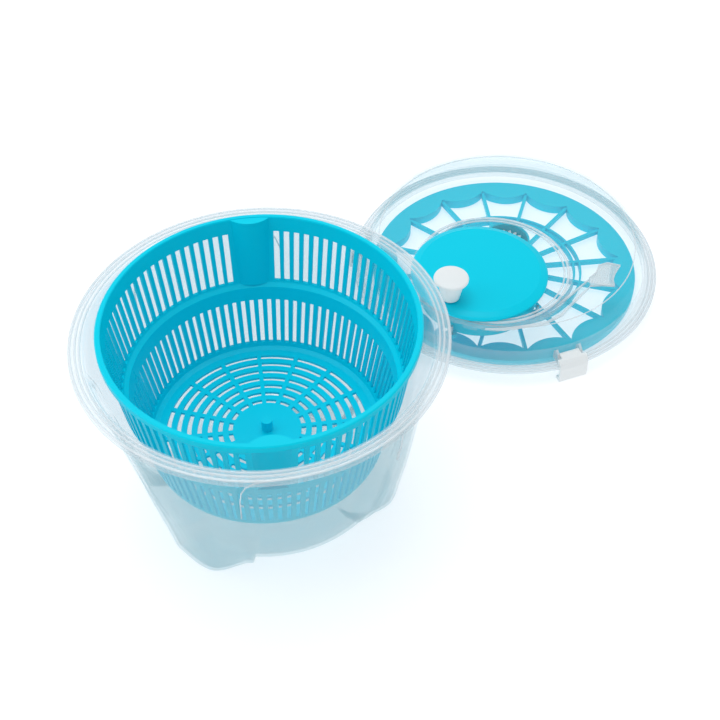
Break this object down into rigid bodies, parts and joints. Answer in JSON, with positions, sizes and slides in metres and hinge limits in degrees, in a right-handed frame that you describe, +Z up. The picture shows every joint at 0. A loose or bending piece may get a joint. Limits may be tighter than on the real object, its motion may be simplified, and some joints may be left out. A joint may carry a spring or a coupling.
{
  "type": "salad spinner",
  "caption": "Salad spinner standing open: clear footed bowl with a slotted blue basket, and beside it the clear lid with its crank disc, gears, drive wheel and hinged clips.",
  "frame": {"origin": "middle of the common footprint of the bowl and the lid, on the table", "axes": "+Z up; the bowl stands towards -X and -Y, the lid lies towards +X and +Y"},
  "size_m": [0.4291, 0.4484, 0.158],
  "materials": {
    "clear_bowl": "clear, slightly milky",
    "clear_lid": "clear, slightly milky",
    "blue_plastic": "gloss turquoise",
    "white_plastic": "satin white",
    "steel": "plain steel"
  },
  "bodies": {
    "bowl": {"bowl": "clear_bowl", "pivot_cone": "clear_bowl", "pivot_pin": "steel"},
    "bush": {"pivot_bush": "white_plastic"},
    "basket": {"basket": "blue_plastic", "basket_hub": "blue_plastic"},
    "lid": {"lid_shell": "clear_lid", "gear_cover": "blue_plastic", "cover_screws": "steel", "clip_pin_front": "steel", "clip_pin_rear": "steel"},
    "crank": {"crank_disc": "blue_plastic", "crank_gear": "white_plastic", "crank_washer": "steel", "crank_screw": "steel", "knob_pin": "steel"},
    "knob": {"knob_grip": "white_plastic", "knob_cap": "white_plastic"},
    "shaft": {"pinion": "white_plastic", "drive_shaft": "steel", "shaft_washer": "steel", "shaft_screw": "steel"},
    "wheel": {"drive_wheel": "blue_plastic"},
    "clip_a": {"clip_front": "white_plastic"},
    "clip_b": {"clip_rear": "white_plastic"}
  },
  "joints": [
    {"name": "basket_lift", "type": "slide", "parent": "bowl", "child": "bush", "axis": [0, 0, 1], "range_m": [0, 0.16]},
    {"name": "basket_spin", "type": "hinge", "parent": "bush", "child": "basket", "pos_m": [-0.09355, -0.1032, 0.053], "axis": [0, 0, 1], "continuous": true},
    {"name": "lid_lift", "type": "slide", "parent": "bowl", "child": "lid", "axis": [0, 0, 1], "range_m": [0, 0.2]},
    {"name": "crank_turn", "type": "hinge", "parent": "lid", "child": "crank", "pos_m": [0.06671, 0.05556, 0.045], "axis": [0, 0, 1], "continuous": true},
    {"name": "knob_spin", "type": "hinge", "parent": "crank", "child": "knob", "pos_m": [0.04149, 0.02464, 0.055], "axis": [0, 0, 1], "continuous": true},
    {"name": "shaft_turn", "type": "hinge", "parent": "lid", "child": "shaft", "pos_m": [0.09305, 0.1027, 0.02], "axis": [0, 0, 1], "continuous": true},
    {"name": "wheel_rise", "type": "slide", "parent": "shaft", "child": "wheel", "axis": [0, 0, 1], "range_m": [0, 0.013]},
    {"name": "clip_front_swing", "type": "hinge", "parent": "lid", "child": "clip_a", "pos_m": [0.13026, -0.00537, 0.017], "axis": [-0.9455, -0.3256, 0], "range_deg": [0, 70]},
    {"name": "clip_rear_swing", "type": "hinge", "parent": "lid", "child": "clip_b", "pos_m": [-0.01915, 0.12451, 0.017], "axis": [0.1908, 0.9816, 0], "range_deg": [0, 70]}
  ],
  "couplings": [
    {"joint": "shaft_turn", "follows": "crank_turn", "ratio": -3}
  ]
}
